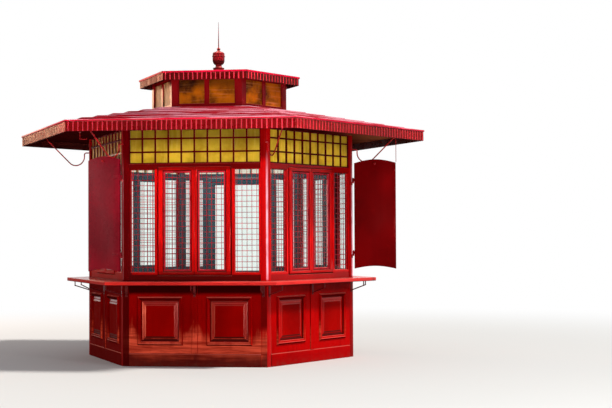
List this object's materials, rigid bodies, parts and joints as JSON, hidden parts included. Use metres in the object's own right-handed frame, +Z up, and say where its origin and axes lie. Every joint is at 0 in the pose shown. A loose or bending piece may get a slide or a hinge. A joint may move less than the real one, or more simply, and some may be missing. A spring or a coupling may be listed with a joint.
{
  "type": "street kiosk",
  "caption": "Six-sided timber street kiosk with a serving counter, glazed frieze, deep eaves, a glazed lantern and hinged shutter leaves.",
  "frame": {"origin": "on the kiosk's vertical axis, at ground level", "axes": "+Z up, -Y out of the front side, +X to the right when facing the front"},
  "size_m": [5.5794, 4.8324, 4.5355],
  "materials": {
    "red_paint": "glossy deep red oil paint on planed timber, a little worn at the foot",
    "leaf_paint": "glossy deep red paint on a flat leaf",
    "roof_paint": "weathered dark red paint on lapped boards",
    "bare_timber": "sawn and planed boards",
    "painted_iron": "dark red paint on round bar",
    "clear_glass": "clear window glass",
    "yellow_glass": "obscured yellow glass",
    "amber_glass": "obscured amber glass"
  },
  "bodies": {
    "root": {"floor_bearers": "bare_timber", "floor_boards": "bare_timber", "plinth_boards": "red_paint", "corner_posts": "red_paint", "wainscot_front": "red_paint", "wainscot_front_right": "red_paint", "wainscot_back_right": "red_paint", "wainscot_back": "red_paint", "wainscot_back_left": "red_paint", "wainscot_front_left": "red_paint", "counter_boards": "red_paint", "counter_irons": "painted_iron", "window_frames": "red_paint", "window_sashes": "red_paint", "window_panes": "clear_glass", "frieze_bars": "red_paint", "frieze_glass": "yellow_glass", "door_frame": "red_paint", "door_leaf": "red_paint", "door_glass": "clear_glass", "door_hinges": "painted_iron", "door_handle": "painted_iron", "wall_plates": "red_paint", "hip_rafters": "bare_timber", "soffit_boards": "red_paint", "eaves_boards": "red_paint", "eaves_irons": "painted_iron", "roof_slopes": "roof_paint", "lantern_kerb": "red_paint", "lantern_posts": "red_paint", "lantern_frames": "red_paint", "lantern_panes": "amber_glass", "lantern_plates": "red_paint", "lantern_soffit": "red_paint", "lantern_eaves": "red_paint", "lantern_roof": "roof_paint", "finial_foot": "red_paint", "finial_urn": "red_paint", "finial_spike": "painted_iron", "shutter_pins": "painted_iron", "shutter_stays": "painted_iron"},
    "right_leaf": {"shutter_right": "leaf_paint", "shutter_right_knobs": "painted_iron"},
    "left_leaf": {"shutter_left": "leaf_paint", "shutter_left_knobs": "painted_iron"}
  },
  "joints": [
    {"name": "right_leaf_hinge", "type": "hinge", "parent": "root", "child": "right_leaf", "pos_m": [1.83205, -0.02312, 0], "axis": [0, 0, 1], "range_deg": [-112, 3]},
    {"name": "left_leaf_hinge", "type": "hinge", "parent": "root", "child": "left_leaf", "pos_m": [-0.93605, -1.57504, 0], "axis": [0, 0, 1], "range_deg": [-27, 88]}
  ]
}
